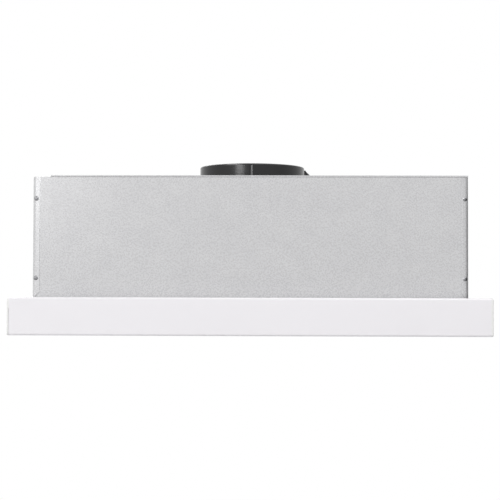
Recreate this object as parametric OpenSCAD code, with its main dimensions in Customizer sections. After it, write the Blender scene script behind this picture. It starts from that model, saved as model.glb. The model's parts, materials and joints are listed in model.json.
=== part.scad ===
// Slide-out under cabinet range hood.
// Millimetres. +Z is up and -Y faces the cook.
// The origin is the bottom centre of the closed hood: the middle of its width and depth, on its lower rim.

/* [Body] */
// Width of the sheet metal body
body_w = 686; // [670:2:720]
// Depth of the sheet metal body
body_d = 280; // [278:1:300]
// Height of the body, from its lower rim to the lip on its top
body_h = 253; // [248:1:280]
// Thickness of the body's sheet
sheet = 1; // [0.8:0.1:1.2]
// Width of the side panels' front and rear flanges
flange_w = 11; // [10:0.5:14]
// Angle that the front flanges fall back by, in degrees
flange_rake = 8; // [0:1:9]
// Bend radius of the side panels' corners, on the sheet's centre line
corner_r = 2.2; // [1.2:0.1:2.6]
// Height of the lip along the top panel's front edge
lip_rise = 2; // [1:0.5:4]
// Length of the lip that is cut away at the left front corner
lip_notch = 28; // [20:1:60]
// Distance of the four holes for the cabinet screws from the sides of the body
mount_inset = 43; // [33:1:90]
// Spacing along the depth of the four holes for the cabinet screws
mount_pitch_y = 210; // [190:5:220]
// Diameter of the holes for the cabinet screws
mount_hole_d = 5; // [4:0.5:6]

/* [Front bar] */
// Width of the front bar
bar_w = 759; // [740:1:780]
// Height of the front bar
bar_h = 60; // [60:1:66]
// Depth of the front bar, front face to back
bar_depth = 17; // [15:1:22]
// Thickness of the front bar's sheet
bar_sheet = 1.2; // [1:0.1:1.5]
// Bend radius of the front bar's edges, on the sheet's centre line
bar_bend = 2.4; // [1.5:0.1:4]
// Gap between the back of the bar and the body's front
bar_gap = 3; // [2:0.5:6]
// Thickness of the bar's end caps
cap_t = 3; // [2:0.5:4]
// Width of the prying slot beside the left end cap
pry_w = 0.8; // [0.5:0.1:1.2]

/* [Visor] */
// How far the visor pulls out
visor_travel = 170; // [120:5:175]
// Height of the visor pan's walls
visor_h = 24; // [23:1:26]
// Depth of the visor pan
visor_d = 227; // [222:1:234]
// Height of the slide rails
rail_h = 20; // [19:1:22]
// Space beside the visor pan that holds a slide
rail_space = 13; // [12.5:0.5:16]
// Length of the moving rail past the back of the visor pan
rail_tail = 40; // [36:1:44]
// Radius of the slide's balls
ball_r = 1.9; // [1.6:0.1:2]
// Balls in each row of a slide
ball_count = 6; // [4:1:7]

/* [Underside] */
// Height of the bottom pan above the lower rim
pan_lift = 4; // [3.5:0.5:6]
// Height of the bottom pan's walls
pan_h = 20; // [16:1:22]
// Height of the space between the bottom pan and the visor pan
lower_zone = 27; // [26:1:32]
// Width of the bottom pan's rim beside the filters
pan_rim = 26.5; // [20:0.5:40]
// Width of the bottom pan's rib between the filters
bay_rib = 17.6; // [12:0.4:30]
// Depth of a grease filter
filter_d = 180; // [170:1:200]
// Thickness of a grease filter
filter_t = 9; // [8:0.5:10]
// Clearance round a grease filter
filter_gap = 1.2; // [1:0.1:1.6]
// Width of the ledge that a filter closes against
ledge_w = 6; // [5:0.5:8]
// Radius of a lamp's lens
lens_r = 25; // [20:1:26]
// Distance of each lamp from the middle of the hood
lamp_x = 250; // [200:5:280]

/* [Duct] */
// Outer radius of the duct collar
collar_r = 86; // [84:1:88]
// Height of the duct collar above the top panel
collar_h = 26.5; // [25:0.5:60]
// Wall of the duct collar
collar_wall = 3; // [2:0.5:4]
// Distance of the duct's centre from the body's back
duct_setback = 139; // [136:1:144]
// Thickness of a damper flap
flap_t = 1.6; // [1.2:0.1:2]
// Radius of the damper's axle
axle_r = 1.5; // [1.2:0.1:2]
// Running clearance round a turning shaft
shaft_gap = 0.08; // [0.05:0.01:0.1]

/* [Blower] */
// Outer radius of the blower wheel's blades
wheel_r = 60; // [54:1:61]
// Length of the blower wheel
wheel_l = 92; // [84:1:96]
// Blades in the wheel
blade_count = 36; // [20:1:40]
// Radial depth of a blade
blade_depth = 10.5; // [8:0.5:11]
// Angle that a blade leans forwards by, in degrees
blade_lead = 13; // [6:1:16]
// Inner width of the scroll housing
scroll_w = 109; // [106:1:112]
// Wall of the scroll housing
scroll_wall = 1.5; // [1:0.1:2]
// Gap between the wheel and the scroll's tongue
tongue_gap = 8; // [6:1:8]
// Growth of the scroll's radius from its tongue to its outlet
scroll_growth = 20; // [16:1:20]
// Radius of the motor can
motor_r = 40; // [36:1:42]
// Length of the motor can
motor_l = 70; // [64:1:80]
// Distance of the motor's inner face from the wheel's middle
motor_offset = 35; // [30:1:40]
// Drop of the motor shaft below the top of the body's inside
wheel_drop = 102; // [98:1:104]
// Radius of the motor shaft
shaft_r = 4; // [3:0.5:4.5]

/* [Switches] */
// Travel of the fan speed slider over its four positions
speed_travel = 21; // [15:1:24]
// Travel of the light slider
light_travel = 7; // [5:1:8]
// Distance of the switch plate's centre from the middle of the hood
switch_x = 140; // [100:5:170]

/* [Hidden] */

$fn = 48;
bend_steps = 5;
bend_r = 1.2;
eps = 0.01;
fine_gap = 0.3;

// Fasteners
screw_r = 1.6;
screw_hole_r = 1.8;
head_r = 3.5;
head_h = 1.8;
recess_w = 0.9;
recess_depth = 1;
body_screw_l = 6;
collar_screw_l = 8;
scroll_screw_l = 9;
bar_screw_l = 5;

// Main planes
overall_d = bar_depth + bar_gap + body_d + head_h;
y_bar = -overall_d / 2;
y_front = y_bar + bar_depth + bar_gap;
y_back = y_front + body_d;
x_side = body_w / 2;
x_in = x_side - sheet;
edge_gap = corner_r + sheet / 2 + 0.1;
z_top = body_h - lip_rise;
z_ceiling = z_top - sheet;
y_duct = y_back - duct_setback;

// Pressed beads
bead_start = 150;
bead_end = x_side - 83;
bead_front = 80;
bead_back = 95;
bead_z = 85;

// Visor and slides
visor_z = pan_lift + lower_zone;
visor_x = x_in - rail_space;
visor_y0 = y_bar + bar_depth;
visor_y1 = visor_y0 + visor_d;
z_slot = visor_z + visor_h + 3;
z_rail = visor_z + visor_h / 2;
rail_t = 1.2;
rail_y0 = y_front + 3;
rail_end = visor_y1 + rail_tail;
rail_reach = 9;
moving_reach = 8;
moving_half = rail_h / 2 - rail_t - 2 * ball_r - 2 * fine_gap;
ball_z = (rail_h / 2 - rail_t + moving_half) / 2;
ball_x = x_in - rail_space + moving_reach - 2;
cage_t = 0.8;
cage_l = rail_end - rail_y0 - visor_travel - 7;
ball_pitch = (cage_l - 12) / (ball_count - 1);
cage_x = x_in - rail_t - 2.4;
cage_y = (rail_y0 + rail_end) / 2;
rivet_y = [rail_y0 + 20, rail_end - 20];

// Filters and the strip in front of them, which holds the lamps and switches
pan_x = x_in - fine_gap;
pan_y0 = y_front + 5;
pan_y1 = y_back - 2 * sheet - 0.6;
bay_w = pan_x - pan_rim - bay_rib / 2;
bay_d = filter_d + 2 * filter_gap;
bay_x = (bay_w + bay_rib) / 2;
filter_w = bay_w - 2 * filter_gap;
cup_margin = 3.5;
strip_y = pan_y0 + sheet + 1.5 + cup_margin + lens_r;
bay_y0 = strip_y + lens_r + cup_margin + 1.5;
tongue_x = filter_w / 2 - 52;
filter_lift = pan_lift + 1.3;
recess_h = filter_t + 1.6;
z_ledge = pan_lift + recess_h + sheet;
filter_lip = 10;
filter_sheet = 0.8;
tab_w = 14;
tab_l = 5;
hinge_bead_r = 0.8;
visor_filter_w = 2 * visor_x - 56;
visor_filter_d = 166;
visor_bay_y0 = visor_y0 + 36;

// Switches and lamps
cup_h = 20;
plate_w = 96;
plate_d = 28;
plate_t = 1.6;
knob_w = 11;
stem_w = 3;
slot_d = 5;
speed_x = switch_x - 20;
light_x = switch_x + 26;

// Duct
flange_t = 2.5;
rim_r = 2.2;
ring_h = 10;
ring_step = 0.4;
groove_w = 5;
groove_depth = 0.36 * collar_wall;
pocket_depth = 0.45 * collar_wall;
ear_pitch = 66;
stop_z = z_top + 10;
axle_z = stop_z + 2;
flap_z = stop_z + fine_gap;
bore_r = collar_r - collar_wall;
flap_r = bore_r - 5;
flap_inset = 3.4;
knuckle_r = axle_r + shaft_gap + 1.4;

// Blower
z_wheel = z_ceiling - wheel_drop;
tongue_angle = 75;
tongue_r = wheel_r + tongue_gap;
outlet_r = tongue_r + scroll_growth;
outlet_u = tongue_r * cos(tongue_angle);
y_wheel = y_duct + (outlet_r - outlet_u) / 2;
inlet_r = wheel_r - blade_depth + 0.5;
mouth_r = 3;
scroll_half = scroll_w / 2 + scroll_wall;
scroll_steps = 34;
outlet_flange = ear_pitch + 8;
ear_angles = [35, -15, -58, -128];
ear_r = 5.5;
ear_offset = scroll_wall + head_r + 0.5;
ear_t = 3;
motor_x1 = -motor_offset;
motor_x0 = motor_x1 - motor_l;
motor_wall = 1.2;
stator_l = 36;
rotor_r = 22;
bracket_x = -scroll_half - mouth_r - 4;

// Electrical parts
gland_x = 83;
gland_y = y_duct + 96;
gland_bore_r = 6;
gland_thread_r = 12;
gland_cap_r = 17.5;
box_x0 = scroll_half + mouth_r + 2.5;
box_w = 100;
capacitor_x = -140;
capacitor_y = y_duct + 40;
capacitor_r = 16;
capacitor_l = 58;
box_y0 = y_duct + outlet_flange + 1.5;
box_d = 42;
box_h = 44;

function unit(v) = v / norm(v);
function left_of(v) = [-v.y, v.x];
function flipped(list) = [for (i = [len(list) - 1 : -1 : 0]) list[i]];

// One edge of a bent strip: path p, offset d to its left, bends of centre line radius r
function bend_edge(p, d, r) = [
  for (i = [0 : len(p) - 1])
    let (
      u = i == 0 ? unit(p[1] - p[0]) : unit(p[i] - p[i - 1]),
      v = i == len(p) - 1 ? u : unit(p[i + 1] - p[i]),
      turn = i == 0 ? 0 : atan2(cross(u, v), u * v),
      side = sign(turn),
      start = i == 0 ? [p[0] + d * left_of(u)] : [],
      finish = i == len(p) - 1 ? [p[i] + d * left_of(u)] : [],
      centre = p[i] - u * r * tan(abs(turn) / 2) + side * r * left_of(u),
      from = atan2(-side * left_of(u).y, -side * left_of(u).x)
    )
    each concat(
      start,
      finish,
      (i == 0 || i == len(p) - 1) ? [] : [
        for (k = [0 : bend_steps])
          let (a = from + turn * k / bend_steps) centre + (r - side * d) * [cos(a), sin(a)]
      ]
    )
];

// Section of sheet of thickness t, bent along path p
module strip(p, t, r = bend_r) {
  polygon(concat(bend_edge(p, t / 2, r), flipped(bend_edge(p, -t / 2, r))));
}

// Extrudes an outline drawn in X and Y along X, so that its x becomes Y and its y becomes Z
module along_x(x0, x1) {
  translate([x0, 0, 0]) rotate([90, 0, 90]) linear_extrude(x1 - x0) children();
}

// Extrudes an outline drawn in X and Z along Y
module along_y(y0, y1) {
  translate([0, y1, 0]) rotate([90, 0, 0]) linear_extrude(y1 - y0) children();
}

module block(low, high) {
  translate(low) cube(high - low);
}

module rounded(w, d, r) {
  square([w - 2 * r, d], center = true);
  square([w, d - 2 * r], center = true);
  for (x = [-1, 1], y = [-1, 1]) translate([x * (w / 2 - r), y * (d / 2 - r)]) circle(r);
}

// Pan head screw: the head's seat is at the origin and the shank runs down
module screw(length, r = screw_r, head = head_r) {
  dome = (head * head + head_h * head_h) / (2 * head_h);
  difference() {
    union() {
      intersection() {
        translate([0, 0, head_h - dome]) sphere(dome);
        cylinder(h = head_h, r = head);
      }
      translate([0, 0, -length]) cylinder(h = length + eps, r = r, $fn = 24);
    }
    for (a = [0, 90]) rotate(a) translate([0, 0, head_h])
      cube([head * 1.2, recess_w, 2 * recess_depth], center = true);
  }
}

// Sheet pan with walls and windows; each window is [x0, x1, y0, y1] and has a recess wall and a ledge
module window_pan(low, high, wall_h, windows, top_lip) {
  difference() {
    union() {
      difference() {
        block(low, [high.x, high.y, low.z + wall_h]);
        block(low + [sheet, sheet, sheet], [high.x - sheet, high.y - sheet, low.z + wall_h + eps]);
      }
      translate([0, 0, low.z + wall_h - sheet]) difference() {
        block([low.x, low.y, 0], [high.x, high.y, sheet]);
        block([low.x + top_lip, low.y + top_lip, -eps], [high.x - top_lip, high.y - top_lip, sheet + eps]);
      }
      for (w = windows)
        block([w[0] - sheet, w[2] - sheet, low.z], [w[1] + sheet, w[3] + sheet, low.z + recess_h + sheet]);
    }
    for (w = windows) {
      block([w[0], w[2], low.z - eps], [w[1], w[3], low.z + recess_h]);
      block(
        [w[0] + ledge_w, w[2] + ledge_w, low.z],
        [w[1] - ledge_w, w[3] - ledge_w, low.z + recess_h + 2 * sheet]
      );
    }
  }
}

// ---- Sheet metal body ----

body_screw_z = [z_ceiling - 34, z_slot + 32.5];
body_screw_x = x_side - flange_w / 2;
flange_y = y_front - sheet / 2 + 0.7;
top_screw_x = x_side - 7;
top_screw_y = [y_duct - 100, y_duct + 100];
pan_screw_y = [y_front + 40, y_back - 40];
pan_screw_z = pan_lift + 9;
back_tab = 12;
side_mount_y = [y_duct - 70, y_duct + 70];

// Places of the right side's front screws: the origin is on the raked flange and +Z points out of it
module front_screw_places() {
  for (z = body_screw_z)
    translate([body_screw_x, flange_y + (body_screw_x - x_side + flange_w) * tan(flange_rake), z])
      rotate([0, 0, flange_rake]) rotate([90, 0, 0]) translate([0, 0, sheet / 2]) children();
}

module both_sides() {
  children();
  mirror([1, 0, 0]) children();
}

module drill(r = screw_hole_r, depth = 9) {
  translate([0, 0, -depth]) cylinder(h = depth + 4, r = r, $fn = 24);
}

// The front panel's ends lie behind the side flanges and fall back with them
module front_panel() {
  y = flange_y + sheet + 0.1;
  bend_x = x_side - flange_w - 1;
  edge = x_side - edge_gap;
  fall = (edge - bend_x) * tan(flange_rake);
  lip_end = bend_x - 3;
  color("lightgray") difference() {
    union() {
      translate([0, 0, z_slot]) linear_extrude(z_ceiling - z_slot)
        strip([[-edge, y + fall], [-bend_x, y], [bend_x, y], [edge, y + fall]], sheet);
      along_x(-lip_end, lip_end)
        strip([[y + 12, z_ceiling - sheet / 2], [y, z_ceiling - sheet / 2], [y, z_ceiling - 8]], sheet);
      along_x(-lip_end, lip_end)
        strip([[y, z_slot + 8], [y, z_slot + sheet / 2], [y + 10, z_slot + sheet / 2]], sheet);
    }
    both_sides() front_screw_places() drill();
  }
}

// The right side panel; the left one is its mirror image
module side_panel() {
  x = x_side - sheet / 2;
  mitre = sqrt(2) * (flange_w - edge_gap);
  y_corner = flange_y + (flange_w - sheet / 2) * tan(flange_rake);
  y_rear = y_back - sheet / 2;
  color("silver") difference() {
    union() {
      linear_extrude(z_ceiling) strip([
        [x_side - flange_w, flange_y], [x, y_corner], [x, y_rear], [x_side - flange_w, y_rear]
      ], sheet, corner_r);
      along_y(y_front + 14, y_back - 14) strip([
        [x_side - 12, z_ceiling - sheet / 2], [x, z_ceiling - sheet / 2], [x, z_ceiling - 10]
      ], sheet);
      along_y(y_front + 14, y_back - 14)
        strip([[x, 8], [x, sheet / 2], [x_side - 8, sheet / 2]], sheet);
    }
    // Mitred ends of the front flange, and its cut-out for the slide
    for (z = [z_ceiling, z_slot + 2]) translate([x_side - flange_w, y_front, z]) rotate([0, 45, 0])
      cube([mitre, 6, mitre], center = true);
    block([x_side - flange_w - 1, y_front - 6, visor_z - 3], [x_in - eps, y_front + 6, z_slot]);
    front_screw_places() drill();
    for (z = body_screw_z) translate([body_screw_x, y_back, z]) rotate([-90, 0, 0]) drill();
    for (y = top_screw_y) translate([top_screw_x, y, z_ceiling]) drill();
    for (y = pan_screw_y) translate([x_side, y, pan_screw_z]) rotate([0, 90, 0]) drill();
    for (y = rivet_y) translate([x_side, y, z_rail]) rotate([0, 90, 0]) drill();
    for (y = side_mount_y) translate([x_side - 4, y, z_ceiling - 45]) rotate([0, 90, 0])
      cylinder(h = 8, r = mount_hole_d / 2);
  }
}

// Pressed stiffening bead on a level sheet, from a to b, with its crown above the sheet
module bead(a, b, width = 9, rise = 1.6) {
  r = (width * width / 4 + rise * rise) / (2 * rise);
  run = norm(b - a);
  intersection() {
    translate([a.x, a.y, rise - r]) rotate([0, 0, atan2(b.y - a.y, b.x - a.x)]) {
      rotate([0, 90, 0]) cylinder(h = run, r = r, $fn = 96);
      sphere(r, $fn = 96);
      translate([run, 0, 0]) sphere(r, $fn = 96);
    }
    translate([min(a.x, b.x) - width, min(a.y, b.y) - width, -0.4])
      cube([abs(b.x - a.x) + 2 * width, abs(b.y - a.y) + 2 * width, rise + 0.5]);
  }
}

module mount_places() {
  for (x = [-1, 1], y = [-1, 1])
    translate([x * (x_side - mount_inset), y_duct + y * mount_pitch_y / 2, 0]) children();
}

module ear_places() {
  for (x = [-1, 1], y = [-1, 1]) translate([x * ear_pitch, y_duct + y * ear_pitch, 0]) children();
}

module top_panel() {
  z = z_top - sheet / 2;
  color("gainsboro") difference() {
    union() {
      along_x(-x_side + 0.3, x_side - 0.3)
        strip([[y_back - 1.4, z], [y_front + 1.2, z], [y_front + 1.2, body_h]], sheet, 1);
      for (x = [-1, 1]) translate([0, 0, z_top]) {
        bead([x * bead_start, y_duct - bead_front], [x * bead_end, y_duct - bead_front]);
        bead([x * bead_start, y_duct], [x * (bead_end + 40), y_duct]);
        bead([x * (bead_start + 50), y_duct + bead_back], [x * bead_end, y_duct + bead_back]);
      }
      mount_places() translate([0, 0, z_top - eps]) cylinder(h = 1.2, r1 = 11, r2 = 9.5);
    }
    block([-x_side, y_front - 1, z_top - 3 * sheet], [-x_side + lip_notch, y_front + 9, body_h + 1]);
    translate([0, y_duct, z_top - 4]) cylinder(h = 8, r = flap_r - 4, $fn = 96);
    translate([gland_x, gland_y, z_top - 4]) cylinder(h = 8, r = gland_thread_r + 0.2);
    mount_places() translate([0, 0, z_top - 4]) cylinder(h = 8, r = mount_hole_d / 2);
    ear_places() translate([0, 0, z_top - 4]) cylinder(h = 8, r = screw_hole_r, $fn = 24);
    both_sides() for (y = top_screw_y) translate([top_screw_x, y, z_top]) drill();
  }
}

module back_panel() {
  y = y_back - 1.5 * sheet - 0.1;
  edge = x_side - edge_gap;
  color("gainsboro") difference() {
    union() {
      block([-edge, y - sheet / 2, pan_lift], [edge, y + sheet / 2, z_ceiling - 6]);
      along_x(-edge + back_tab, edge - back_tab)
        strip([[y, z_ceiling - 8], [y, z_ceiling - sheet / 2], [y - back_tab, z_ceiling - sheet / 2]], sheet);
      for (z = [bead_z, z_ceiling - bead_z]) translate([0, y + sheet / 2, z]) rotate([-90, 0, 0])
        bead([-bead_end, 0], [bead_end, 0], 9, 0.9);
    }
    both_sides() for (z = body_screw_z) translate([body_screw_x, y_back, z]) rotate([-90, 0, 0]) drill();
    // Scored cable knock-out
    translate([x_side - 60, y_back - 1.4, z_ceiling - 40]) rotate([-90, 0, 0]) difference() {
      cylinder(h = 4, r = 11);
      translate([0, 0, -1]) cylinder(h = 6, r = 10);
    }
  }
}

module bottom_pan() {
  low = [-pan_x, pan_y0, pan_lift];
  high = [pan_x, pan_y1, 0];
  bays = [for (x = [-bay_x, bay_x]) [x - bay_w / 2, x + bay_w / 2, bay_y0, bay_y0 + bay_d]];
  color("whitesmoke") difference() {
    union() {
      window_pan(low, high, pan_h, bays, 7);
      // Rounded noses that hold the front edges of the filters
      for (x = [-bay_x, bay_x], t = [-bay_w / 4, bay_w / 4])
        translate([x + t - 9, bay_y0, pan_lift + 7]) rotate([0, 90, 0])
          cylinder(h = 18, r = filter_gap - fine_gap);
    }
    // Slots that take the tongues on the backs of the filters
    for (x = [-bay_x, bay_x], t = [-tongue_x, tongue_x])
      block(
        [x + t - tab_w / 2 - 1, bay_y0 + bay_d - 1, filter_lift - fine_gap],
        [x + t + tab_w / 2 + 1, bay_y0 + bay_d + 2, filter_lift + 5.5]
      );
    for (x = [-lamp_x, lamp_x]) translate([x, strip_y, 0]) cylinder(h = 12, r = lens_r + 2.4);
    translate([switch_x, strip_y, 6]) cube([plate_w - 10, plate_d - 8, 12], center = true);
    both_sides() for (y = pan_screw_y) translate([x_side, y, pan_screw_z]) rotate([0, 90, 0]) drill();
  }
}

module body_screws() {
  color("dimgray") both_sides() {
    front_screw_places() screw(body_screw_l);
    for (z = body_screw_z) translate([body_screw_x, y_back, z]) rotate([-90, 0, 0]) screw(body_screw_l);
    for (y = top_screw_y) translate([top_screw_x, y, z_top]) screw(body_screw_l);
    for (y = pan_screw_y) translate([x_side, y, pan_screw_z]) rotate([0, 90, 0]) screw(body_screw_l);
  }
}

// ---- Duct collar and damper ----

module duct_collar() {
  top = z_top + collar_h;
  ring_r = collar_r + ring_step;
  color("black") difference() {
    union() {
      translate([0, y_duct, 0]) rotate_extrude($fn = 120) polygon(concat(
        [[flap_r - 1, z_top], [collar_r + 4, z_top]],
        [[collar_r + 4, z_top + flange_t], [ring_r + 1, z_top + flange_t]],
        [[ring_r, z_top + flange_t + 1], [ring_r, z_top + ring_h - ring_step], [collar_r, z_top + ring_h]],
        [for (k = [0 : 3]) [collar_r - rim_r, top - rim_r] + rim_r * [cos(k * 30), sin(k * 30)]],
        [[bore_r + 0.5, top], [bore_r, top - 0.5], [bore_r, stop_z], [flap_r - 1, stop_z]],
        [[flap_r - 1, stop_z - 2.5], [bore_r - 1.5, stop_z - 4.5]],
        [[bore_r - 1.5, z_top + 3.5], [flap_r - 1, z_top + 2]]
      ));
      ear_places() translate([0, 0, z_top]) cylinder(h = flange_t, r = 8);
    }
    // Grooves down the outside at the ends of the axle, each with one sloped flank
    for (turn = [0, 180]) translate([0, y_duct, z_top + flange_t + 1.5]) rotate(turn)
      linear_extrude(collar_h - flange_t - rim_r - 2.3) translate([0, -collar_r]) polygon([
        [-groove_w / 2, -1], [-groove_w / 2, groove_depth], [0, groove_depth],
        [groove_w / 2, 0], [groove_w / 2, -1]
      ]);
    // Pockets inside that the axle drops into from the rim
    for (side = [-1, 1]) translate([0, y_duct + side * (bore_r + pocket_depth / 2 - 0.5), axle_z]) {
      rotate([90, 0, 0]) cylinder(h = pocket_depth + 1, r = axle_r + 0.1, center = true);
      translate([0, 0, collar_h / 2]) cube([2 * axle_r + 0.2, pocket_depth + 1, collar_h], center = true);
    }
    ear_places() translate([0, 0, z_top - 1]) cylinder(h = 9, r = screw_hole_r, $fn = 24);
    ear_places() translate([0, 0, z_top + flange_t]) cylinder(h = head_h + 0.2, r = head_r + 0.2);
  }
}

module collar_screws() {
  color("silver") ear_places() translate([0, 0, z_top + flange_t]) screw(collar_screw_l);
}

module damper_axle() {
  color("silver") translate([0, y_duct, axle_z]) rotate([90, 0, 0])
    cylinder(h = 2 * (bore_r + pocket_depth - 0.1), r = axle_r, center = true);
}

// The right flap; its knuckles sit between those of the left one
module damper_flap(side) {
  starts = side > 0 ? [-62, 22] : [-40, 44];
  knuckle_l = 18;
  color("dimgray") difference() {
    union() {
      translate([0, y_duct, flap_z]) linear_extrude(flap_t) intersection() {
        circle(flap_r, $fn = 120);
        translate([side > 0 ? flap_inset : -flap_r - flap_inset, -flap_r]) square([flap_r, 2 * flap_r]);
      }
      for (y = starts) translate([0, y_duct + y, 0]) {
        translate([0, knuckle_l, axle_z]) rotate([90, 0, 0]) cylinder(h = knuckle_l, r = knuckle_r);
        translate([side > 0 ? 0 : -flap_inset - 0.5, 0, flap_z])
          cube([flap_inset + 0.5, knuckle_l, flap_t]);
      }
      // Stiffening ribs moulded on the flap
      for (y = [-32, 0, 32]) translate([side > 0 ? 12 : -60, y_duct + y - 0.6, flap_z + flap_t - eps])
        cube([48, 1.2, 1.8]);
    }
    translate([0, y_duct, axle_z]) rotate([90, 0, 0])
      cylinder(h = 2 * collar_r, r = axle_r + shaft_gap, center = true);
  }
}

// ---- Blower ----

// Scroll outline in the wheel's plane: a spiral that leaves the tongue and ends in a straight outlet
function scroll_radius(a) = tongue_r + scroll_growth * (tongue_angle - a) / (tongue_angle + 180);
function scroll_outline(grow, top) = concat(
  [
    for (k = [0 : scroll_steps])
      let (a = tongue_angle - k * (tongue_angle + 180) / scroll_steps)
        (scroll_radius(a) + grow) * [cos(a), sin(a)]
  ],
  [[-outlet_r - grow, top], [outlet_u + grow, top]]
);

module in_wheel_plane(x) {
  translate([x, y_wheel, z_wheel]) rotate([90, 0, 90]) children();
}

// Places of the screw ears round the scroll, on the plane where its halves meet
module ring_of_ears() {
  in_wheel_plane(0) for (a = ear_angles)
    rotate(a) translate([scroll_radius(a) + ear_offset, 0, 0]) children();
}

// The right half of the scroll housing
module scroll_half_shell() {
  top = z_ceiling - z_wheel;
  difference() {
    union() {
      in_wheel_plane(0) linear_extrude(scroll_half) polygon(scroll_outline(scroll_wall, top));
      in_wheel_plane(scroll_half - eps) cylinder(h = mouth_r, r = inlet_r + mouth_r, $fn = 96);
      translate([0, y_duct - outlet_flange, z_ceiling - 1.5]) cube([outlet_flange, 2 * outlet_flange, 1.5]);
      ring_of_ears() cylinder(h = ear_t, r = ear_r);
    }
    in_wheel_plane(-1) linear_extrude(scroll_w / 2 + 1) polygon(scroll_outline(0, top + 2));
    in_wheel_plane(0) cylinder(h = scroll_half + mouth_r + 1, r = inlet_r, $fn = 96);
    // Rolled inlet edge
    in_wheel_plane(scroll_half + mouth_r + eps) rotate_extrude($fn = 96)
      translate([inlet_r - eps, -mouth_r]) difference() {
        square([mouth_r + 1, mouth_r + 1]);
        translate([mouth_r, 0]) circle(mouth_r);
        translate([mouth_r, 0]) square([2, mouth_r + 1]);
      }
    ring_of_ears() translate([0, 0, -1]) cylinder(h = ear_t + 2, r = screw_hole_r, $fn = 24);
    for (y = [-1, 1]) translate([ear_pitch, y_duct + y * ear_pitch, z_ceiling]) drill();
  }
}

module scroll_screws() {
  color("silver") ring_of_ears() translate([0, 0, ear_t]) screw(scroll_screw_l);
}

// Blade outline: its angle runs ahead with the square of the way out
function blade_edge(side) = [
  for (k = [0 : 6])
    let (t = k / 6, r = wheel_r - blade_depth * (1 - t), a = -blade_lead * t * t + side * 0.6 / r * 180 / PI)
      r * [cos(a), sin(a)]
];

module blower_wheel() {
  r_in = wheel_r - blade_depth;
  color("silver") union() {
    in_wheel_plane(-wheel_l / 2) linear_extrude(wheel_l) for (k = [0 : blade_count - 1])
      rotate(k * 360 / blade_count) polygon(concat(blade_edge(-1), flipped(blade_edge(1))));
    in_wheel_plane(-1) linear_extrude(2) difference() {
      circle(wheel_r + 0.6, $fn = 96);
      circle(12);
      for (k = [0 : 5]) rotate(k * 60) translate([wheel_r / 2, 0]) circle(8);
    }
    for (x = [-wheel_l / 2, wheel_l / 2 - 1.5]) in_wheel_plane(x) linear_extrude(1.5) difference() {
      circle(wheel_r + 1, $fn = 96);
      circle(r_in + 0.5, $fn = 96);
    }
  }
}

module wheel_hub() {
  color("goldenrod") difference() {
    union() {
      in_wheel_plane(-14) cylinder(h = 24, r = 9);
      in_wheel_plane(1) cylinder(h = 2.5, r = 18);
    }
    in_wheel_plane(-15) cylinder(h = 30, r = shaft_r + 0.05);
    translate([-9, y_wheel, z_wheel + 3]) cylinder(h = 10, r = 1.6, $fn = 24);
  }
}

module motor_shaft() {
  color("silver") in_wheel_plane(motor_x0 - 3) cylinder(h = -motor_x0 + 3 + 12, r = shaft_r);
}

module motor_rotor() {
  color("gray") in_wheel_plane((motor_x0 + motor_x1 - stator_l) / 2) difference() {
    cylinder(h = stator_l, r = rotor_r);
    translate([0, 0, -1]) cylinder(h = stator_l + 2, r = shaft_r + 0.05);
  }
}

module motor_stator() {
  middle = (motor_x0 + motor_x1) / 2;
  color("peru") difference() {
    union() {
      in_wheel_plane(middle - stator_l / 2) cylinder(h = stator_l, r = motor_r - motor_wall - 0.1);
      in_wheel_plane(middle - stator_l / 2 - 9) cylinder(h = stator_l + 18, r = motor_r - 6);
    }
    in_wheel_plane(middle - stator_l) cylinder(h = 2 * stator_l, r = rotor_r + 0.5);
  }
}

module motor_vents() {
  for (k = [0 : 7]) rotate(k * 45 + 22.5) translate([0.4 * motor_r, -2, 0]) cube([0.4 * motor_r, 4, 6]);
}

module motor_can() {
  color("gray") difference() {
    in_wheel_plane(motor_x0) cylinder(h = motor_l - 2, r = motor_r);
    in_wheel_plane(motor_x0 + motor_wall) cylinder(h = motor_l, r = motor_r - motor_wall);
    in_wheel_plane(motor_x0 - 1) cylinder(h = 8, r = 8);
    in_wheel_plane(motor_x0 - 1) motor_vents();
  }
}

module motor_end_cap() {
  color("gray") difference() {
    in_wheel_plane(motor_x1 - 2) cylinder(h = 2, r = motor_r);
    in_wheel_plane(motor_x1 - 3) cylinder(h = 8, r = 8);
    in_wheel_plane(motor_x1 - 3) motor_vents();
  }
}

module motor_bushes() {
  color("goldenrod") for (x = [motor_x0 - 1, motor_x1 - 7]) in_wheel_plane(x) difference() {
    cylinder(h = 8, r = 7.95);
    translate([0, 0, -1]) cylinder(h = 10, r = shaft_r + shaft_gap);
  }
}

module motor_bracket() {
  color("silver") difference() {
    union() {
      in_wheel_plane(-scroll_half - 2) cylinder(h = 2, r = inlet_r + 16, $fn = 96);
      in_wheel_plane(bracket_x) cylinder(h = 3, r = motor_r + 5);
      for (k = [0 : 2]) in_wheel_plane(bracket_x) rotate(k * 120 + 30) {
        translate([motor_r + 2, -6, 0]) cube([inlet_r + 12 - motor_r - 2, 12, 3]);
        translate([inlet_r + 8, -6, 0]) cube([4, 12, -scroll_half - bracket_x]);
      }
    }
    in_wheel_plane(-scroll_half - 3) cylinder(h = 4, r = inlet_r + 6, $fn = 96);
    in_wheel_plane(bracket_x - 1) cylinder(h = 3 + 2, r = motor_r + 0.1, $fn = 96);
  }
}

// ---- Electrical parts ----

// Block between two heights with the terminal box's outline grown by a margin on every side
module box_block(margin, z0, z1) {
  block([box_x0 - margin, box_y0 - margin, z0], [box_x0 + box_w + margin, box_y0 + box_d + margin, z1]);
}

module terminal_box() {
  color("whitesmoke") difference() {
    box_block(0, z_ceiling - box_h, z_ceiling);
    box_block(-1, z_ceiling - box_h - 1, z_ceiling - 1);
    translate([gland_x, gland_y, z_ceiling - 3]) cylinder(h = 6, r = gland_thread_r + 0.2);
  }
}

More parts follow.
